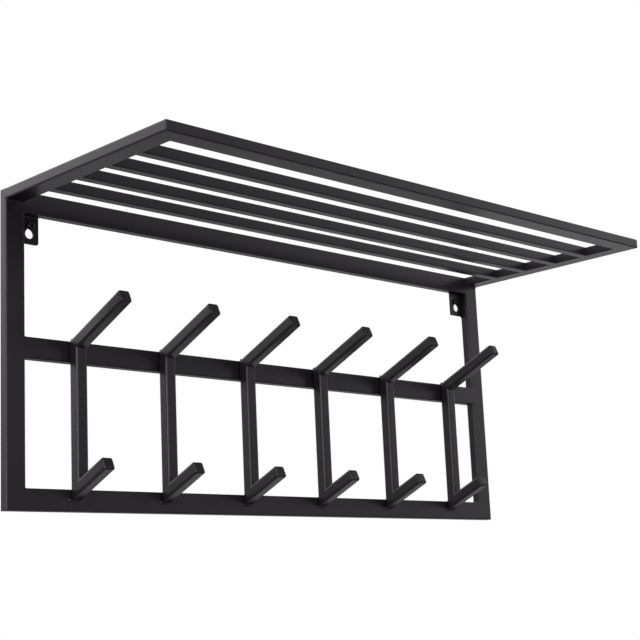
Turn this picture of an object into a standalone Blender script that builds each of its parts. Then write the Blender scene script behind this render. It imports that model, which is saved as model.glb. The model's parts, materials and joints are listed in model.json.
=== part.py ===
# Wall coat rack: a welded frame of black steel tube with a slatted hat shelf and double hooks
# Units are metres, +Z is up, the wall is the plane Y = 0 and the rack stands out towards -Y.
# The origin lies on the wall, midway between the two screws that the rack hangs on.

import math

import bmesh
import bpy
from mathutils import Matrix, Vector

# Overall sizes
OVERALL_WIDTH = 0.660
OVERALL_HEIGHT = 0.290
SHELF_DEPTH = 0.242  # from the wall to the front of the shelf

# Rectangular tube of the wall frame and the shelf frame
TUBE_WIDTH = 0.020
TUBE_DEPTH = 0.010
TUBE_WALL = 0.0015
TUBE_EDGE = 0.0015  # radius of the tube's long edges
CORNER_RADIUS = 0.001  # ground on each welded outside corner

# Slats, as tall as the shelf frame
SLAT_COUNT = 4
SLAT_PITCH = 0.0427
SLAT_ROW_FORWARD = 0.002  # the row's middle in front of the middle of the shelf's opening
SLAT_WIDTH = 0.010  # front to back
SLAT_WALL = 0.001
SLAT_EDGE = 0.001

# Hook rail and double hooks
HOOK_RAIL_HEIGHT = 0.1355  # its underside above the rack's lower edge
HOOK_COUNT = 6
HOOK_INSET = 0.0525  # from an upright to the middle of the nearest hook; the others are evenly spaced
HOOK_BAR = 0.012
HOOK_EDGE = 0.0022
PRONG_RISE = math.radians(24)
UPPER_PRONG_LENGTH = 0.084  # along its upper, longer face
LOWER_PRONG_LENGTH = 0.0575  # along its lower, longer face
LOWER_HEEL_HEIGHT = 0.010  # the lower prong's heel above the rack's lower edge

# Keyhole hanger plates in the upper corners, flush with the wall
PLATE_WIDTH = 0.0194
PLATE_HEIGHT = 0.0262
PLATE_THICKNESS = 0.002
PLATE_CORNER = 0.002
KEYHOLE_DIAMETER = 0.009
KEYHOLE_SLOT = 0.005
KEYHOLE_RISE = 0.0067  # from the centre of the hole to the centre of the slot's end
KEYHOLE_FOOT = 0.0095  # the hole's centre above the plate's lower edge

# Clearance between welded pieces, and the facets of round edges
WELD_GAP = 0.0003
BORE_OVERRUN = 0.010  # each bore cutter runs this far past the ends of its tube
EDGE_SHARE = 0.4  # a rounded edge takes at most this share of a bar's thickness
EDGE_FACETS = 4
CORNER_CUTS = 3  # on each side of a mitre, to round the outside corner
KEYHOLE_FACETS = 24
SLOT_END_FACETS = 10
PLATE_CORNER_FACETS = 5
SMOOTH_ANGLE = math.radians(40)

# Places that follow from the sizes; heights count from the rack's lower edge
HALF_WIDTH = OVERALL_WIDTH / 2
OPENING_LENGTH = OVERALL_WIDTH - 2 * (TUBE_WIDTH + WELD_GAP)
HOOK_BACK = -(TUBE_DEPTH + WELD_GAP)
HOOK_TOP = HOOK_RAIL_HEIGHT + TUBE_WIDTH
PLATE_TOP = OVERALL_HEIGHT - TUBE_WIDTH - WELD_GAP
HANG_HEIGHT = PLATE_TOP - PLATE_HEIGHT + KEYHOLE_FOOT + KEYHOLE_RISE

RIGHT = Vector((1, 0, 0))
TO_WALL = Vector((0, 1, 0))
UP = Vector((0, 0, 1))
PRONG_ALONG = Vector((0, -math.cos(PRONG_RISE), math.sin(PRONG_RISE)))
PRONG_UPPER_SIDE = Vector((0, math.sin(PRONG_RISE), math.cos(PRONG_RISE)))
RIGHT_ANGLE = math.radians(90)
UPPER_HOOK_CORNER = RIGHT_ANGLE + PRONG_RISE
LOWER_HOOK_CORNER = RIGHT_ANGLE - PRONG_RISE

FRAME_COLOUR = (0.016, 0.016, 0.018, 1.0)
SHELF_COLOUR = (0.018, 0.018, 0.019, 1.0)
HOOK_COLOUR = (0.017, 0.017, 0.018, 1.0)
PLATE_COLOUR = (0.013, 0.013, 0.014, 1.0)
COAT_ROUGHNESS = 0.45


def clear_scene():
    for old in list(bpy.data.objects):
        bpy.data.objects.remove(old, do_unlink=True)


def new_collection(name):
    collection = bpy.data.collections.new(name)
    bpy.context.scene.collection.children.link(collection)
    return collection


def powder_coat(name, colour):
    material = bpy.data.materials.new(name + "_coat")
    material.use_nodes = True
    shader = material.node_tree.nodes["Principled BSDF"]
    shader.inputs["Base Color"].default_value = colour
    shader.inputs["Roughness"].default_value = COAT_ROUGHNESS
    shader.inputs["Metallic"].default_value = 0.0
    return material


# Bars start as straight stock along local X from 0, and are then sawn to shape.
# A mitred bar is longest along its local +Y side, which is the outside of its corner.

def stock_bar(length, width, depth, edge_radius, round_tip=False):
    bar = bmesh.new()
    bmesh.ops.create_cube(bar, size=1.0)
    bmesh.ops.scale(bar, vec=(length, width, depth), verts=bar.verts)
    bmesh.ops.translate(bar, vec=(length / 2, 0, 0), verts=bar.verts)
    rounded = []
    for edge in bar.edges:
        start, end = (vert.co for vert in edge.verts)
        runs_along = abs(start.x - end.x) > length / 2
        at_tip = min(start.x, end.x) > length / 2
        if runs_along or (round_tip and at_tip):
            rounded.append(edge)
    radius = min(edge_radius, EDGE_SHARE * width, EDGE_SHARE * depth)
    if radius > 0:
        bmesh.ops.bevel(bar, geom=rounded, offset=radius, segments=EDGE_FACETS, profile=0.5, affect="EDGES")
    return bar


def saw_cut(bar, point, away):
    geometry = bar.verts[:] + bar.edges[:] + bar.faces[:]
    cut = bmesh.ops.bisect_plane(bar, geom=geometry, plane_co=point, plane_no=away, clear_outer=True)
    rim = [item for item in cut["geom_cut"] if isinstance(item, bmesh.types.BMEdge)]
    bmesh.ops.contextual_create(bar, geom=rim)


def mitre(bar, corner_at, outward, width, corner_angle):
    # corner_at is the outside corner's place along the bar, outward is -1 at its start and 1 at its end
    setback = width / math.tan(corner_angle / 2)
    pull = WELD_GAP / 2 / math.sin(corner_angle / 2)
    corner = Vector((corner_at, width / 2, 0))
    cut_point = corner - Vector((outward * pull, 0, 0))
    saw_cut(bar, cut_point, Vector((outward * width, -setback, 0)))


def round_corner(bar, corner_at, outward, width, radius):
    # This bar's half of a round right-angled corner, up to the mitre
    centre = Vector((corner_at - outward * radius, width / 2 - radius, 0))
    for step in range(CORNER_CUTS):
        angle = RIGHT_ANGLE / 2 * (step + 1) / CORNER_CUTS
        away = Vector((outward * math.sin(angle), math.cos(angle), 0))
        saw_cut(bar, centre + away * radius, away)


def turn(along, across):
    return Matrix((along, across, along.cross(across))).transposed().to_euler()


def add_mesh_object(name, bar, collection, place, along, across):
    mesh = bpy.data.meshes.new(name)
    bmesh.ops.recalc_face_normals(bar, faces=bar.faces)
    bar.to_mesh(mesh)
    bar.free()
    mesh.shade_smooth()
    mesh.set_sharp_from_angle(angle=SMOOTH_ANGLE)
    piece = bpy.data.objects.new(name, mesh)
    piece.location = place
    piece.rotation_euler = turn(along, across)
    piece.parent = base
    collection.objects.link(piece)
    return piece


def add_bar(name, bar, place, along, across, colour):
    piece = add_mesh_object(name, bar, rack, place, along, across)
    piece.data.materials.append(powder_coat(name, colour))
    return piece


def bore_out(piece, length, width, depth, wall, edge_radius):
    inner_radius = max(edge_radius - wall, 0.0)
    stock = stock_bar(length + 2 * BORE_OVERRUN, width - 2 * wall, depth - 2 * wall, inner_radius)
    bmesh.ops.translate(stock, vec=(-BORE_OVERRUN, 0, 0), verts=stock.verts)
    along, across = piece.rotation_euler.to_matrix().transposed()[:2]
    cutter = add_mesh_object(piece.name + "_bore", stock, cutters, piece.location, along, across)
    cutter.hide_render = True
    cutter.display_type = "WIRE"
    bore = piece.modifiers.new("bore", "BOOLEAN")
    bore.operation = "DIFFERENCE"
    bore.solver = "EXACT"
    bore.object = cutter


def add_frame_tube(name, length, place, along, across, colour, mitred_ends=(-1, 1)):
    bar = stock_bar(length, TUBE_WIDTH, TUBE_DEPTH, TUBE_EDGE)
    for outward in mitred_ends:
        corner_at = length if outward > 0 else 0.0
        mitre(bar, corner_at, outward, TUBE_WIDTH, RIGHT_ANGLE)
        round_corner(bar, corner_at, outward, TUBE_WIDTH, CORNER_RADIUS)
    tube = add_bar(name, bar, place, along, across, colour)
    bore_out(tube, length, TUBE_WIDTH, TUBE_DEPTH, TUBE_WALL, TUBE_EDGE)


def add_wall_frame():
    depth_centre = -TUBE_DEPTH / 2
    rails = (
        ("top_rail", OVERALL_HEIGHT - TUBE_WIDTH / 2, UP),
        ("bottom_rail", TUBE_WIDTH / 2, -UP),
    )
    for name, height, outside in rails:
        add_frame_tube(name, OVERALL_WIDTH, (-HALF_WIDTH, depth_centre, height), RIGHT, outside, FRAME_COLOUR)
    for name, side in (("upright_left", -1), ("upright_right", 1)):
        place = (side * (HALF_WIDTH - TUBE_WIDTH / 2), depth_centre, 0)
        add_frame_tube(name, OVERALL_HEIGHT, place, UP, RIGHT * side, FRAME_COLOUR)
    place = (-OPENING_LENGTH / 2, depth_centre, HOOK_RAIL_HEIGHT + TUBE_WIDTH / 2)
    add_frame_tube("hook_rail", OPENING_LENGTH, place, RIGHT, UP, FRAME_COLOUR, mitred_ends=())


def add_shelf():
    height = OVERALL_HEIGHT - TUBE_DEPTH / 2
    place = (-HALF_WIDTH, -SHELF_DEPTH + TUBE_WIDTH / 2, height)
    add_frame_tube("shelf_front_bar", OVERALL_WIDTH, place, RIGHT, -TO_WALL, SHELF_COLOUR)
    # The side bars butt against the uprights and are mitred to the front bar
    side_start = TUBE_DEPTH + WELD_GAP
    for name, side in (("shelf_side_left", -1), ("shelf_side_right", 1)):
        place = (side * (HALF_WIDTH - TUBE_WIDTH / 2), -side_start, height)
        length = SHELF_DEPTH - side_start
        add_frame_tube(name, length, place, -TO_WALL, RIGHT * side, SHELF_COLOUR, mitred_ends=(1,))

    row_centre = -(SHELF_DEPTH - TUBE_WIDTH + TUBE_DEPTH) / 2 - SLAT_ROW_FORWARD
    for index in range(SLAT_COUNT):
        name = f"shelf_slat_{index + 1}"
        from_centre = (index - (SLAT_COUNT - 1) / 2) * SLAT_PITCH
        place = (-OPENING_LENGTH / 2, row_centre + from_centre, height)
        bar = stock_bar(OPENING_LENGTH, SLAT_WIDTH, TUBE_DEPTH, SLAT_EDGE)
        slat = add_bar(name, bar, place, RIGHT, TO_WALL, SHELF_COLOUR)
        bore_out(slat, OPENING_LENGTH, SLAT_WIDTH, TUBE_DEPTH, SLAT_WALL, SLAT_EDGE)


def add_hook(number, x):
    # Three pieces of square bar: the post's long side lies against the rails
    post_length = HOOK_TOP - LOWER_HEEL_HEIGHT
    bar = stock_bar(post_length, HOOK_BAR, HOOK_BAR, HOOK_EDGE)
    mitre(bar, 0.0, -1, HOOK_BAR, LOWER_HOOK_CORNER)
    mitre(bar, post_length, 1, HOOK_BAR, UPPER_HOOK_CORNER)
    place = (x, HOOK_BACK - HOOK_BAR / 2, LOWER_HEEL_HEIGHT)
    add_bar(f"hook_post_{number}", bar, place, UP, TO_WALL, HOOK_COLOUR)

    prongs = (
        ("upper_prong", HOOK_TOP, UPPER_PRONG_LENGTH, PRONG_UPPER_SIDE, UPPER_HOOK_CORNER),
        ("lower_prong", LOWER_HEEL_HEIGHT, LOWER_PRONG_LENGTH, -PRONG_UPPER_SIDE, LOWER_HOOK_CORNER),
    )
    for name, root_height, length, long_face, corner_angle in prongs:
        bar = stock_bar(length, HOOK_BAR, HOOK_BAR, HOOK_EDGE, round_tip=True)
        mitre(bar, 0.0, -1, HOOK_BAR, corner_angle)
        corner = Vector((x, HOOK_BACK, root_height))
        place = corner - long_face * (HOOK_BAR / 2)
        add_bar(f"{name}_{number}", bar, place, PRONG_ALONG, long_face, HOOK_COLOUR)


def add_hooks():
    last = HALF_WIDTH - TUBE_WIDTH - HOOK_INSET
    pitch = 2 * last / (HOOK_COUNT - 1)
    for index in range(HOOK_COUNT):
        add_hook(index + 1, index * pitch - last)


def arc(centre_x, centre_z, radius, start_angle, end_angle, facets):
    points = []
    for step in range(facets + 1):
        angle = start_angle + (end_angle - start_angle) * step / facets
        points.append((centre_x + radius * math.cos(angle), centre_z + radius * math.sin(angle)))
    return points


def plate_outline():
    # The upright is on the left and the rail above, so only the lower right corner is free and rounded
    points = [(0.0, -PLATE_HEIGHT), (0.0, 0.0), (PLATE_WIDTH, 0.0)]
    corner_x = PLATE_WIDTH - PLATE_CORNER
    corner_z = -PLATE_HEIGHT + PLATE_CORNER
    return points + arc(corner_x, corner_z, PLATE_CORNER, 0.0, -RIGHT_ANGLE, PLATE_CORNER_FACETS)


def keyhole_outline():
    # A round hole for the screw's head, open at the top to a narrower slot with a round end
    centre_x = PLATE_WIDTH / 2
    centre_z = -PLATE_HEIGHT + KEYHOLE_FOOT
    radius = KEYHOLE_DIAMETER / 2
    half_slot = KEYHOLE_SLOT / 2
    mouth = math.asin(half_slot / radius)
    hole = arc(centre_x, centre_z, radius, RIGHT_ANGLE - mouth, mouth - 3 * RIGHT_ANGLE, KEYHOLE_FACETS)
    return hole + arc(centre_x, centre_z + KEYHOLE_RISE, half_slot, math.pi, 0.0, SLOT_END_FACETS)


def add_hanger_plate(name, side):
    outline = bpy.data.curves.new(name, "CURVE")
    outline.dimensions = "2D"
    outline.fill_mode = "BOTH"
    outline.extrude = PLATE_THICKNESS / 2
    for points in (plate_outline(), keyhole_outline()):
        spline = outline.splines.new("POLY")
        spline.points.add(len(points) - 1)
        for point, (x, z) in zip(spline.points, points):
            point.co = (-side * x, z, 0.0, 1.0)
        spline.use_cyclic_u = True
    outline.materials.append(powder_coat(name, PLATE_COLOUR))
    plate = bpy.data.objects.new(name, outline)
    plate.location = (side * OPENING_LENGTH / 2, -PLATE_THICKNESS / 2, PLATE_TOP)
    plate.rotation_euler = (RIGHT_ANGLE, 0, 0)
    plate.parent = base
    rack.objects.link(plate)


clear_scene()
rack = new_collection("wall_coat_rack")
cutters = new_collection("cutters")
base = bpy.data.objects.new("rack_lower_edge", None)
base.location = (0, 0, -HANG_HEIGHT)
rack.objects.link(base)

add_wall_frame()
add_shelf()
add_hooks()
add_hanger_plate("hanger_plate_left", -1)
add_hanger_plate("hanger_plate_right", 1)
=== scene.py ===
import json
import math

import bmesh
import bpy
from mathutils import Matrix, Vector


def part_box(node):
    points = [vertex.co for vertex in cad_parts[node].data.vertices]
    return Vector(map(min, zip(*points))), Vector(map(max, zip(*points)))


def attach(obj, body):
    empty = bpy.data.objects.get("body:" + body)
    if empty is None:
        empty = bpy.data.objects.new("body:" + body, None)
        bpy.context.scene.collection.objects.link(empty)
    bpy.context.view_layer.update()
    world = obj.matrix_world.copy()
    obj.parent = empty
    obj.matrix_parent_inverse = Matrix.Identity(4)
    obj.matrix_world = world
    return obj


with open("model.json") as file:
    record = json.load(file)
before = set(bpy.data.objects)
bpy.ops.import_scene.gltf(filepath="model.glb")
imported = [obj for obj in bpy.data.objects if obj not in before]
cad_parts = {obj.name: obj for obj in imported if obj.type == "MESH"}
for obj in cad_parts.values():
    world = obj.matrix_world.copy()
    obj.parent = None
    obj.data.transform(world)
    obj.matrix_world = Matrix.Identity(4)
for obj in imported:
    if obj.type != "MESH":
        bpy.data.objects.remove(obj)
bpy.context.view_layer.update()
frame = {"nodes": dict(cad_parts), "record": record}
rackNodes = frame["nodes"]
hookCount = sum(name.startswith("hook_post_") for name in rackNodes)
slatCount = sum(name.startswith("shelf_slat_") for name in rackNodes)
right, toWall, up = Vector((1, 0, 0)), Vector((0, 1, 0)), Vector((0, 0, 1))
sides = ((-1, "left"), (1, "right"))
print("frame loaded,", len(rackNodes), "nodes")


# Powder coat: near-black with a faint violet cast, satin, with the fine skin that baked powder leaves
frameCoat = dict(dark=(0.0095, 0.0075, 0.0097), pale=(0.0132, 0.0107, 0.0134), fleck=(0.025, 0.022, 0.026),
                 rough=0.31, spread=0.05, peel=0.30)
shelfCoat = dict(dark=(0.0098, 0.0078, 0.0099), pale=(0.0135, 0.0110, 0.0136), fleck=(0.025, 0.022, 0.026),
                 rough=0.31, spread=0.05, peel=0.30)
hookCoat = dict(dark=(0.0095, 0.0075, 0.0096), pale=(0.0132, 0.0107, 0.0133), fleck=(0.024, 0.021, 0.025),
                rough=0.30, spread=0.05, peel=0.28)
plateCoat = dict(dark=(0.0085, 0.0067, 0.0086), pale=(0.0118, 0.0095, 0.0119), fleck=(0.022, 0.019, 0.023),
                 rough=0.34, spread=0.06, peel=0.36)
weldCoat = dict(dark=(0.0094, 0.0074, 0.0096), pale=(0.0129, 0.0104, 0.0131), fleck=(0.024, 0.021, 0.025),
                rough=0.32, spread=0.06, peel=0.45)
dropCoat = dict(dark=(0.0098, 0.0078, 0.0100), pale=(0.0135, 0.0110, 0.0137), fleck=(0.025, 0.022, 0.026),
                rough=0.17, spread=0.03, peel=0.15)  # thick and run smooth over the drops of weld
# what all of them share; scales count per metre, depths are in metres
powder = dict(ior=1.44, gloss=0.5, driftScale=16.0, driftDetail=3.0, peelScale=750.0, peelDetail=1.5,
              peelDepth=0.00008, grainScale=2600.0, grainDepth=0.00004, grainShare=0.5,
              fleckEdge=(0.66, 0.82), fleckShare=0.55)


def addNode(tree, kind, **values):
    node = tree.nodes.new(kind)
    for key, value in values.items():
        setattr(node, key, value)
    return node


def powderCoat(name, look):
    material = bpy.data.materials.new(name)
    material.use_nodes = True
    tree = material.node_tree
    links = tree.links
    shader = tree.nodes["Principled BSDF"]
    shader.inputs["Metallic"].default_value = 0.0
    shader.inputs["IOR"].default_value = powder["ior"]
    shader.inputs["Specular IOR Level"].default_value = powder["gloss"]

    place = addNode(tree, "ShaderNodeTexCoord").outputs["Object"]  # metres in the rack's frame

    # broad, faint drift of the film's thickness
    drift = addNode(tree, "ShaderNodeTexNoise")
    drift.inputs["Scale"].default_value = powder["driftScale"]
    drift.inputs["Detail"].default_value = powder["driftDetail"]
    links.new(place, drift.inputs["Vector"])

    # orange peel of about a millimetre, and the grain of the powder inside it
    peel = addNode(tree, "ShaderNodeTexNoise")
    peel.inputs["Scale"].default_value = powder["peelScale"]
    peel.inputs["Detail"].default_value = powder["peelDetail"]
    links.new(place, peel.inputs["Vector"])
    grain = addNode(tree, "ShaderNodeTexVoronoi", feature="SMOOTH_F1")
    grain.inputs["Scale"].default_value = powder["grainScale"]
    links.new(place, grain.inputs["Vector"])

    colour = addNode(tree, "ShaderNodeMix", data_type="RGBA")
    colour.inputs["A"].default_value = (*look["dark"], 1)
    colour.inputs["B"].default_value = (*look["pale"], 1)
    links.new(drift.outputs["Fac"], colour.inputs["Factor"])

    # tiny pale flecks where the peel stands proud
    fleckEdge = addNode(tree, "ShaderNodeMapRange", interpolation_type="SMOOTHSTEP")
    fleckEdge.inputs["From Min"].default_value = powder["fleckEdge"][0]
    fleckEdge.inputs["From Max"].default_value = powder["fleckEdge"][1]
    fleckEdge.inputs["To Max"].default_value = powder["fleckShare"]
    links.new(peel.outputs["Fac"], fleckEdge.inputs["Value"])
    flecked = addNode(tree, "ShaderNodeMix", data_type="RGBA")
    flecked.inputs["B"].default_value = (*look["fleck"], 1)
    links.new(fleckEdge.outputs["Result"], flecked.inputs["Factor"])
    links.new(colour.outputs["Result"], flecked.inputs["A"])
    links.new(flecked.outputs["Result"], shader.inputs["Base Color"])

    sheen = addNode(tree, "ShaderNodeMapRange")
    sheen.inputs["To Min"].default_value = look["rough"] - look["spread"]
    sheen.inputs["To Max"].default_value = look["rough"] + look["spread"]
    links.new(drift.outputs["Fac"], sheen.inputs["Value"])
    links.new(sheen.outputs["Result"], shader.inputs["Roughness"])

    grainBump = addNode(tree, "ShaderNodeBump")
    grainBump.inputs["Strength"].default_value = look["peel"] * powder["grainShare"]
    grainBump.inputs["Distance"].default_value = powder["grainDepth"]
    links.new(grain.outputs["Distance"], grainBump.inputs["Height"])
    peelBump = addNode(tree, "ShaderNodeBump")
    peelBump.inputs["Strength"].default_value = look["peel"]
    peelBump.inputs["Distance"].default_value = powder["peelDepth"]
    links.new(peel.outputs["Fac"], peelBump.inputs["Height"])
    links.new(grainBump.outputs["Normal"], peelBump.inputs["Normal"])
    links.new(peelBump.outputs["Normal"], shader.inputs["Normal"])
    return material


coats = {
    "frame": powderCoat("frameCoat", frameCoat),
    "shelf": powderCoat("shelfCoat", shelfCoat),
    "hooks": powderCoat("hookCoat", hookCoat),
    "plates": powderCoat("plateCoat", plateCoat),
    "weld": powderCoat("weldCoat", weldCoat),
    "drop": powderCoat("dropCoat", dropCoat),
}
for part in frame["record"]["subparts"]:
    mesh = rackNodes[part["node"]].data
    mesh.materials.clear()
    mesh.materials.append(coats[part["material_slot"]])


# Everything added here rides on the one welded body
def addPiece(name, bm, coat, smoothAngle=35):
    bmesh.ops.recalc_face_normals(bm, faces=bm.faces)
    mesh = bpy.data.meshes.new(name)
    bm.to_mesh(mesh)
    bm.free()
    mesh.shade_smooth()
    mesh.set_sharp_from_angle(angle=math.radians(smoothAngle))
    mesh.materials.append(coat)
    piece = bpy.data.objects.new(name, mesh)
    bpy.context.scene.collection.objects.link(piece)
    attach(piece, "root")


flatAngle = 0.01  # radians; faces of a hull that bend less than this become one


def hullOf(points):
    bm = bmesh.new()
    for point in points:
        bm.verts.new(point)
    hull = bmesh.ops.convex_hull(bm, input=bm.verts)
    unused = hull["geom_interior"] + hull["geom_unused"]
    spare = [item for item in unused if isinstance(item, bmesh.types.BMVert)]
    bmesh.ops.delete(bm, geom=list(set(spare)), context="VERTS")
    bmesh.ops.dissolve_limit(bm, angle_limit=flatAngle, verts=bm.verts, edges=bm.edges)
    return bm


# Weld seams ground flush: they close the sawn joints, so no line shows in the coat
groundSeams = dict(reach=0.00036, joints=[
    ("top_rail", "upright_left"), ("top_rail", "upright_right"),
    ("bottom_rail", "upright_left"), ("bottom_rail", "upright_right"),
    ("shelf_front_bar", "shelf_side_left"), ("shelf_front_bar", "shelf_side_right")])
for number in range(1, hookCount + 1):
    groundSeams["joints"].append((f"hook_post_{number}", f"upper_prong_{number}"))
    groundSeams["joints"].append((f"hook_post_{number}", f"lower_prong_{number}"))


def slotOf(name):
    return "shelf" if name.startswith("shelf") else "hooks" if name.startswith("hook_post") else "frame"


def facingVerts(nameA, nameB, reach):
    ownA = [vert.co.copy() for vert in rackNodes[nameA].data.vertices]
    ownB = [vert.co.copy() for vert in rackNodes[nameB].data.vertices]
    pairA = [a for a in ownA if any((a - b).length < reach for b in ownB)]
    pairB = [b for b in ownB if any((a - b).length < reach for a in ownA)]
    return pairA + pairB


def addSeam(nameA, nameB):
    points = facingVerts(nameA, nameB, groundSeams["reach"])
    slotName = slotOf(nameA)
    addPiece(f"seam_{nameA}_{nameB}", hullOf(points), coats[slotName])


for nameA, nameB in groundSeams["joints"]:
    addSeam(nameA, nameB)


# Butt welds ground flush: each bar's end is carried on into the rounded edge that it meets
buttWelds = dict(reach=0.0018, endDepth=0.00002, ends=[
    ("hook_rail", (-1, 0, 0)), ("hook_rail", (1, 0, 0)),
    ("shelf_side_left", (0, 1, 0)), ("shelf_side_right", (0, 1, 0))])
for number in range(1, slatCount + 1):
    buttWelds["ends"] += [(f"shelf_slat_{number}", (-1, 0, 0)), (f"shelf_slat_{number}", (1, 0, 0))]


def addButtWeld(name, direction):
    outward = Vector(direction)
    own = [vert.co.copy() for vert in rackNodes[name].data.vertices]
    endAt = max(co.dot(outward) for co in own)
    ring = [co for co in own if co.dot(outward) > endAt - buttWelds["endDepth"]]
    points = ring + [co + outward * buttWelds["reach"] for co in ring]
    slotName = slotOf(name)
    side = "left" if outward.x < 0 else "right" if outward.x > 0 else "back"
    addPiece(f"butt_{name}_{side}", hullOf(points), coats[slotName])


for name, direction in buttWelds["ends"]:
    addButtWeld(name, direction)
print("butt welds:", len(buttWelds["ends"]))


# Weld beads left in the inner corners, with the faint ripple of a hand-laid weld under the coat
# bow is how far the bead swells past a flat face, and is negative on a hollow one
bead = dict(sink=0.0005, ripple=0.05, ripplePitch=0.0017, step=0.0004, fewest=8, margin=0.00025,
            taper=0.0008, arcSteps=6, smoothAngle=60)
cornerBead = dict(leg=0.0011, bow=-0.24)
plateBead = dict(leg=0.0018, bow=-0.22)
footBead = dict(leg=0.0028, bow=-0.24)
shelfBead = dict(leg=0.0022, bow=-0.22)
heelBead = dict(leg=0.0018, bow=-0.20, taper=0.005, ripple=0.02, rise=24)  # rise of the prongs in degrees
grooveBead = dict(leg=0.0021, bow=0.06, share=0.36)  # share of the post's width, to each side of its middle
tubeEdge, barEdge = 0.0015, 0.0022  # radius of the long edges of the tube and of the hook bar


def edgeDrop(depth, radius):
    # how far a face falls back this near to a rounded edge
    if depth >= radius:
        return 0.0
    return radius - math.sqrt(radius ** 2 - (radius - depth) ** 2)


def addBead(name, start, end, wallA, wallB, look, roundA=0.0, roundB=0.0):
    # wallA and wallB run out of the corner, each along its own face
    start, end, wallA, wallB = (Vector(v) for v in (start, end, wallA, wallB))
    length = (end - start).length
    along = (end - start) / length
    middle = (wallA + wallB).normalized()
    rings = max(bead["fewest"], int(length / bead["step"]))
    bm = bmesh.new()
    loops = []
    for index in range(rings + 1):
        at = bead["margin"] + (length - 2 * bead["margin"]) * index / rings
        depth = min(at, length - at)
        swell = math.sqrt(min(1.0, depth / look.get("taper", bead["taper"])))
        ripple = look.get("ripple", bead["ripple"]) * math.sin(2 * math.pi * at / bead["ripplePitch"])
        size = look["leg"] * swell * (1 + ripple)
        corner = start + along * at - wallB * edgeDrop(depth, roundA) - wallA * edgeDrop(depth, roundB)
        loop = [bm.verts.new(corner - middle * bead["sink"])]
        for step in range(bead["arcSteps"] + 1):
            share = step / bead["arcSteps"]
            flat = wallA * (1 - share) + wallB * share
            bowed = flat + middle * look["bow"] * math.sin(math.pi * share)
            loop.append(bm.verts.new(corner + bowed * size))
        loops.append(loop)
    count = len(loops[0])
    for lower, upper in zip(loops, loops[1:]):
        for step in range(count):
            after = (step + 1) % count
            bm.faces.new((lower[step], lower[after], upper[after], upper[step]))
    bm.faces.new(loops[0])
    bm.faces.new(loops[-1])
    addPiece(name, bm, coats["weld"], smoothAngle=bead["smoothAngle"])


onAxis = 1e-7  # a ring smaller than this is a single point
lobeCount = 6


def turned(profile, steps):
    # a closed solid turned about the Y axis
    # each ring has a radius, a place along Y and the depth of its lobes
    bm = bmesh.new()
    rings = []
    for radius, y, lobes in profile:
        if radius < onAxis:
            rings.append([bm.verts.new((0, y, 0))])
            continue
        ring = []
        for step in range(steps):
            angle = 2 * math.pi * step / steps
            reach = radius * (1 + lobes * math.cos(lobeCount * angle))
            ring.append(bm.verts.new((reach * math.cos(angle), y, reach * math.sin(angle))))
        rings.append(ring)
    for lower, upper in zip(rings, rings[1:]):
        for step in range(steps):
            after = (step + 1) % steps
            corners = [lower[step % len(lower)], lower[after % len(lower)],
                       upper[after % len(upper)], upper[step % len(upper)]]
            bm.faces.new(list(dict.fromkeys(corners)))  # three corners beside a point
    return bm


# A drop of weld metal at the left of each heel
weldDrop = dict(radius=0.0018, proud=0.0016, tall=1.2, sink=0.0003, steps=24, rings=6, smoothAngle=60,
                outward=0.0010, lift=0.0002)  # from the post's left side and from the heel


def addDrop(name, place):
    look = weldDrop
    profile = [(0.0, look["sink"], 0), (look["radius"], look["sink"], 0)]
    for step in range(look["rings"]):
        angle = math.pi / 2 * step / look["rings"]
        profile.append((look["radius"] * math.cos(angle), -look["proud"] * math.sin(angle), 0))
    profile.append((0.0, -look["proud"], 0))
    bm = turned(profile, look["steps"])
    bmesh.ops.scale(bm, vec=(1, 1, look["tall"]), verts=bm.verts)
    bmesh.ops.translate(bm, vec=place, verts=bm.verts)
    addPiece(name, bm, coats["drop"], smoothAngle=look["smoothAngle"])


def frameBeads():
    made = 0
    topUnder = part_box("top_rail")[0].z
    for side, sideName in sides:
        uprightLow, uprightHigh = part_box(f"upright_{sideName}")
        inner = uprightHigh.x if side < 0 else uprightLow.x
        inward = right * -side
        plateLow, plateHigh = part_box(f"hanger_plate_{sideName}")
        for railName, senses in (("top_rail", (-1,)), ("hook_rail", (1, -1)), ("bottom_rail", (1,))):
            railLow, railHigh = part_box(railName)
            rear = plateLow.y if railName == "top_rail" else uprightHigh.y
            for sense in senses:
                height = railHigh.z if sense > 0 else railLow.z
                edgeName = "over" if sense > 0 else "under"
                addBead(f"bead_{railName}_{edgeName}_{sideName}", (inner, uprightLow.y, height),
                        (inner, rear, height), inward, up * sense, cornerBead,
                        roundA=tubeEdge, roundB=tubeEdge)
                made += 1
        # the plate: a fillet along its top, and one in each corner that its free edges make
        free = plateHigh.x if side < 0 else plateLow.x
        addBead(f"bead_plate_top_{sideName}", (inner, plateLow.y, topUnder), (free, plateLow.y, topUnder),
                -up, -toWall, plateBead)
        addBead(f"bead_plate_end_{sideName}", (free, plateLow.y, topUnder), (free, plateHigh.y, topUnder),
                inward, -up, plateBead)
        addBead(f"bead_plate_foot_{sideName}", (inner, plateLow.y, plateLow.z),
                (inner, plateHigh.y, plateLow.z), inward, -up, footBead)
        made += 3
    return made


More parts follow.
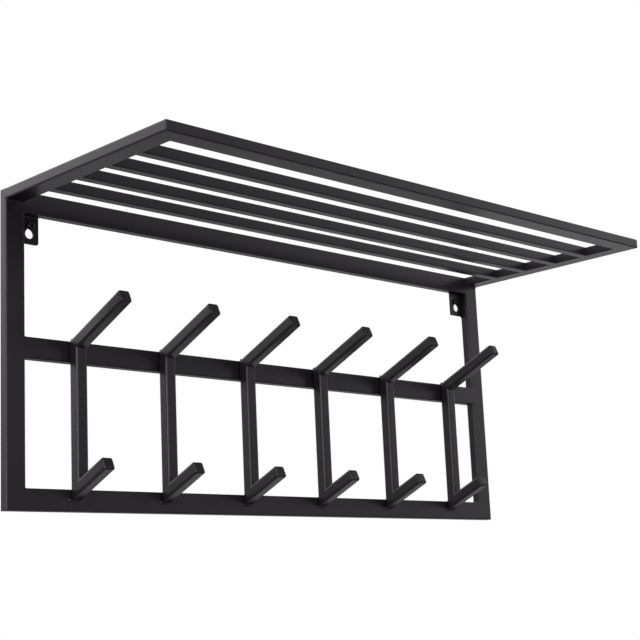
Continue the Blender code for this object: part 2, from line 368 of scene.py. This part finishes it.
def shelfBeads():
    made = 0
    barLow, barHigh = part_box("shelf_front_bar")
    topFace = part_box("top_rail")[0].y
    for side, sideName in sides:
        sideLow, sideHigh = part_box(f"shelf_side_{sideName}")
        inner = sideHigh.x if side < 0 else sideLow.x
        inward = right * -side
        addBead(f"bead_shelf_front_{sideName}", (inner, barHigh.y, barLow.z), (inner, barHigh.y, barHigh.z),
                inward, toWall, cornerBead, roundA=tubeEdge, roundB=tubeEdge)
        # the heavier fillet that carries the shelf, under its side and across the upright
        addBead(f"bead_shelf_under_{sideName}", (sideLow.x, topFace, sideLow.z),
                (sideHigh.x, topFace, sideLow.z), -up, -toWall, shelfBead,
                roundA=tubeEdge, roundB=tubeEdge)
        made += 2
    return made


def hookBeads():
    made = 0
    railLow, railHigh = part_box("hook_rail")
    bottomLow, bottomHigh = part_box("bottom_rail")
    rise = math.radians(heelBead["rise"])
    alongProng = Vector((0, -math.cos(rise), math.sin(rise)))
    for number in range(1, hookCount + 1):
        postLow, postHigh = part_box(f"hook_post_{number}")
        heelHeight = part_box(f"lower_prong_{number}")[0].z
        middle = (postLow.x + postHigh.x) / 2
        half = (postHigh.x - postLow.x) * grooveBead["share"]
        # grooves behind the post, along the rounded edges of both rails
        for grooveName, height, away in (("over", railHigh.z, up), ("under", railLow.z, -up),
                                         ("foot", bottomHigh.z, up)):
            addBead(f"bead_groove_{number}_{grooveName}", (middle - half, postHigh.y, height),
                    (middle + half, postHigh.y, height), away, toWall, grooveBead)
            made += 1
        # the heel, where the lower prong leaves the bottom rail
        addBead(f"bead_heel_{number}", (postLow.x, postHigh.y, heelHeight),
                (postHigh.x, postHigh.y, heelHeight), -up, alongProng, heelBead, roundB=barEdge)
        addDrop(f"bead_drop_{number}",
                (postLow.x - weldDrop["outward"], bottomLow.y, heelHeight + weldDrop["lift"]))
        made += 2
    return made


print("weld beads and drops:", frameBeads() + shelfBeads() + hookBeads())


# Two pan-head wall screws that the rack hangs on, one at the top of each keyhole
wallScrew = dict(head=0.0084, height=0.0027, rim=0.0006, underEdge=0.97, edge=0.0001, domeSteps=8,
                 shank=0.0042, lift=0.0004,  # the slot's end rests on the shank
                 standOff=dict(left=0.0022, right=0.0006),  # from the plate to the head
                 mouth=0.0036, mouthRing=1.18, recess=0.0015, lobes=0.13,
                 recessTaper=(0.95, 0.85), recessTip=0.0002, steps=48, smoothAngle=40)
screwSteel = dict(dark=(0.016, 0.015, 0.016), pale=(0.040, 0.038, 0.041), metallic=0.85, rough=0.30,
                  spread=0.08, stainScale=420.0, stainDetail=4.0, scratch=0.25, scratchDepth=0.00005)


def blackenedSteel(name, look):
    material = bpy.data.materials.new(name)
    material.use_nodes = True
    tree = material.node_tree
    links = tree.links
    shader = tree.nodes["Principled BSDF"]
    shader.inputs["Metallic"].default_value = look["metallic"]
    place = addNode(tree, "ShaderNodeTexCoord").outputs["Object"]
    stain = addNode(tree, "ShaderNodeTexNoise")
    stain.inputs["Scale"].default_value = look["stainScale"]
    stain.inputs["Detail"].default_value = look["stainDetail"]
    links.new(place, stain.inputs["Vector"])
    colour = addNode(tree, "ShaderNodeMix", data_type="RGBA")
    colour.inputs["A"].default_value = (*look["dark"], 1)
    colour.inputs["B"].default_value = (*look["pale"], 1)
    links.new(stain.outputs["Fac"], colour.inputs["Factor"])
    links.new(colour.outputs["Result"], shader.inputs["Base Color"])
    sheen = addNode(tree, "ShaderNodeMapRange")
    sheen.inputs["To Min"].default_value = look["rough"] - look["spread"]
    sheen.inputs["To Max"].default_value = look["rough"] + look["spread"]
    links.new(stain.outputs["Fac"], sheen.inputs["Value"])
    links.new(sheen.outputs["Result"], shader.inputs["Roughness"])
    bump = addNode(tree, "ShaderNodeBump")
    bump.inputs["Strength"].default_value = look["scratch"]
    bump.inputs["Distance"].default_value = look["scratchDepth"]
    links.new(stain.outputs["Fac"], bump.inputs["Height"])
    links.new(bump.outputs["Normal"], shader.inputs["Normal"])
    return material


def addScrew(sideName, steel):
    look = wallScrew
    plateLow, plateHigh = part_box(f"hanger_plate_{sideName}")
    seat = plateLow.y - look["standOff"][sideName]
    headRadius, shankRadius, mouth = look["head"] / 2, look["shank"] / 2, look["mouth"] / 2
    rimFace = seat - look["rim"]
    dome = look["height"] - look["rim"]
    mouthRing = mouth * look["mouthRing"]
    profile = [(0.0, plateHigh.y, 0), (shankRadius, plateHigh.y, 0), (shankRadius, seat, 0),
               (headRadius * look["underEdge"], seat, 0), (headRadius, seat - look["edge"], 0),
               (headRadius, rimFace, 0)]
    for step in range(1, look["domeSteps"] + 1):
        radius = mouthRing + (headRadius - mouthRing) * math.cos(math.pi / 2 * step / look["domeSteps"])
        profile.append((radius, rimFace - dome * math.sqrt(1 - (radius / headRadius) ** 2), 0))
    # the lobed recess for the driver
    top = profile[-1][1]
    floor = top + look["recess"]
    upper, lower = look["recessTaper"]
    profile += [(mouth, top, look["lobes"]), (mouth * upper, top + look["edge"], look["lobes"]),
                (mouth * lower, floor, look["lobes"]), (0.0, floor + look["recessTip"], 0)]
    bm = turned(profile, look["steps"])
    middle = (plateLow.x + plateHigh.x) / 2
    bmesh.ops.translate(bm, vec=(middle, 0, look["lift"]), verts=bm.verts)
    addPiece(f"wall_screw_{sideName}", bm, steel, smoothAngle=look["smoothAngle"])


screwCoat = blackenedSteel("screwSteel", screwSteel)
for side, sideName in sides:
    addScrew(sideName, screwCoat)
print("wall screws:", len(sides))


# Studio: an even, dim room with soft round glows on the world's sphere, all in degrees
# turn counts from the wall's side (+Y) towards +X, height from the horizon up
studio = dict(roomTone=(1.0, 0.975, 1.02), roomLevel=0.265)
glows = {
    "keyPanel": dict(turn=-27, height=29, spread=28, strength=1.63),
    "keyWing": dict(turn=-10, height=30, spread=28, strength=0.96),
    "leftPanel": dict(turn=-97, height=10, spread=28, strength=3.05),
    "leftWing": dict(turn=-110, height=10, spread=28, strength=1.27),
    "frontLeftFill": dict(turn=-157, height=20, spread=45, strength=1.29),
    "wallFill": dict(turn=-10, height=5, spread=28, strength=0.22),
    "rightPanel": dict(turn=100, height=15, spread=28, strength=0.94),
    "rightWing": dict(turn=120, height=15, spread=28, strength=0.36),
    "frontFill": dict(turn=138, height=10, spread=28, strength=0.13),
    "floorBounce": dict(turn=38, height=-38, spread=28, strength=0.30),
    "lowBackFill": dict(turn=-32, height=-30, spread=28, strength=0.40),
    "darkFlag": dict(turn=43, height=-2, spread=23, strength=-0.25),  # takes light away, for dark edges
}
backdrop = dict(turn=58, height=-25, spread=29, strength=0.47)  # share of white that the coat mirrors there


def aimedAt(look):
    turn, height = math.radians(look["turn"]), math.radians(look["height"])
    return (math.sin(turn) * math.cos(height), math.cos(turn) * math.cos(height), math.sin(height))


def addGlow(tree, direction, look):
    near = addNode(tree, "ShaderNodeVectorMath", operation="DOT_PRODUCT")
    tree.links.new(direction, near.inputs[0])
    near.inputs[1].default_value = aimedAt(look)
    patch = addNode(tree, "ShaderNodeMapRange", interpolation_type="SMOOTHSTEP")
    patch.inputs["From Min"].default_value = math.cos(math.radians(look["spread"]))
    patch.inputs["From Max"].default_value = 1.0
    patch.inputs["To Max"].default_value = look["strength"]
    tree.links.new(near.outputs["Value"], patch.inputs["Value"])
    return patch.outputs["Result"]


def addMath(tree, operation, first, second):
    node = addNode(tree, "ShaderNodeMath", operation=operation)
    for socket, value in zip(node.inputs, (first, second)):
        if isinstance(value, float):
            socket.default_value = value
        else:
            tree.links.new(value, socket)
    return node.outputs["Value"]


def buildWorld():
    world = bpy.data.worlds.new("studioWorld")
    bpy.context.scene.world = world
    world.use_nodes = True
    tree = world.node_tree
    tree.nodes.clear()
    links = tree.links
    direction = addNode(tree, "ShaderNodeTexCoord").outputs["Generated"]
    total = studio["roomLevel"]
    for look in glows.values():
        total = addMath(tree, "ADD", addGlow(tree, direction, look), total)
    room = addNode(tree, "ShaderNodeBackground")
    room.inputs["Color"].default_value = (*studio["roomTone"], 1)
    links.new(total, room.inputs["Strength"])
    white = addNode(tree, "ShaderNodeBackground")
    white.inputs["Color"].default_value = (1, 1, 1, 1)
    # the camera sees white all round, and the coat mirrors the same white where the backdrop stands
    rays = addNode(tree, "ShaderNodeLightPath")
    mirrored = addMath(tree, "ADD", rays.outputs["Is Glossy Ray"], rays.outputs["Is Transmission Ray"])
    mirrored = addMath(tree, "MULTIPLY", mirrored, addGlow(tree, direction, backdrop))
    seen = addMath(tree, "MAXIMUM", mirrored, rays.outputs["Is Camera Ray"])
    mix = addNode(tree, "ShaderNodeMixShader")
    links.new(seen, mix.inputs["Fac"])
    links.new(room.outputs["Background"], mix.inputs[1])
    links.new(white.outputs["Background"], mix.inputs[2])
    out = addNode(tree, "ShaderNodeOutputWorld")
    links.new(mix.outputs["Shader"], out.inputs["Surface"])


# Pale floor, far below the rack, which pales to white between the two radii of fade
paleFloor = dict(height=-1.75, radius=7.0, segments=96, tone=0.86, rough=0.9,
                 glow=(0.7, 1.0), fade=(2.5, 6.5))


def buildFloor():
    bm = bmesh.new()
    bmesh.ops.create_circle(bm, cap_ends=True, radius=paleFloor["radius"], segments=paleFloor["segments"])
    mesh = bpy.data.meshes.new("paleFloor")
    bm.to_mesh(mesh)
    bm.free()
    floor = bpy.data.objects.new("paleFloor", mesh)
    floor.location.z = paleFloor["height"]
    bpy.context.scene.collection.objects.link(floor)
    material = bpy.data.materials.new("floorPaint")
    material.use_nodes = True
    tree = material.node_tree
    links = tree.links
    shader = tree.nodes["Principled BSDF"]
    tone = paleFloor["tone"]
    shader.inputs["Base Color"].default_value = (tone, tone, tone, 1)
    shader.inputs["Roughness"].default_value = paleFloor["rough"]
    glow = addNode(tree, "ShaderNodeEmission")
    glow.inputs["Color"].default_value = (1, 1, 1, 1)
    # white for the camera, whole at the rim and in part near the middle, where the shadow falls
    place = addNode(tree, "ShaderNodeTexCoord").outputs["Object"]
    outward = addNode(tree, "ShaderNodeVectorMath", operation="LENGTH")
    links.new(place, outward.inputs[0])
    fade = addNode(tree, "ShaderNodeMapRange", interpolation_type="SMOOTHSTEP")
    fade.inputs["From Min"].default_value, fade.inputs["From Max"].default_value = paleFloor["fade"]
    fade.inputs["To Min"].default_value, fade.inputs["To Max"].default_value = paleFloor["glow"]
    links.new(outward.outputs["Value"], fade.inputs["Value"])
    rays = addNode(tree, "ShaderNodeLightPath")
    share = addMath(tree, "MULTIPLY", rays.outputs["Is Camera Ray"], fade.outputs["Result"])
    mix = addNode(tree, "ShaderNodeMixShader")
    links.new(share, mix.inputs["Fac"])
    links.new(shader.outputs["BSDF"], mix.inputs[1])
    links.new(glow.outputs["Emission"], mix.inputs[2])
    links.new(mix.outputs["Shader"], tree.nodes["Material Output"].inputs["Surface"])
    mesh.materials.append(material)
    # the coat mirrors the studio below and not the floor
    floor.visible_glossy = False
    floor.visible_diffuse = False


# Camera fitted to the photo: below the rack, left of it, looking up
# angles in radians, focal length in pixels
view = dict(at=(-1.01562, -1.09674, -0.35907), turn=0.78081, rise=0.19996, roll=-0.04597,
            focal=1447.97, imageWidth=640, sensor=36.0, farthest=60.0)


def buildCamera():
    data = bpy.data.cameras.new("photoCamera")
    data.sensor_width = view["sensor"]
    data.lens = view["sensor"] * view["focal"] / view["imageWidth"]
    data.clip_end = view["farthest"]
    turn, rise = view["turn"], view["rise"]
    level = math.cos(rise)
    forward = Vector((math.sin(turn) * level, math.cos(turn) * level, math.sin(rise)))
    flat = forward.cross(up).normalized()
    steep = flat.cross(forward)
    across = flat * math.cos(view["roll"]) + steep * math.sin(view["roll"])
    over = steep * math.cos(view["roll"]) - flat * math.sin(view["roll"])
    camera = bpy.data.objects.new("photoCamera", data)
    turnedTo = Matrix((across, over, -forward)).transposed().to_4x4()
    camera.matrix_world = Matrix.Translation(view["at"]) @ turnedTo
    bpy.context.scene.collection.objects.link(camera)
    bpy.context.scene.camera = camera


buildWorld()
buildFloor()
buildCamera()
bpy.context.scene.view_settings.view_transform = "Standard"
print("studio ready")
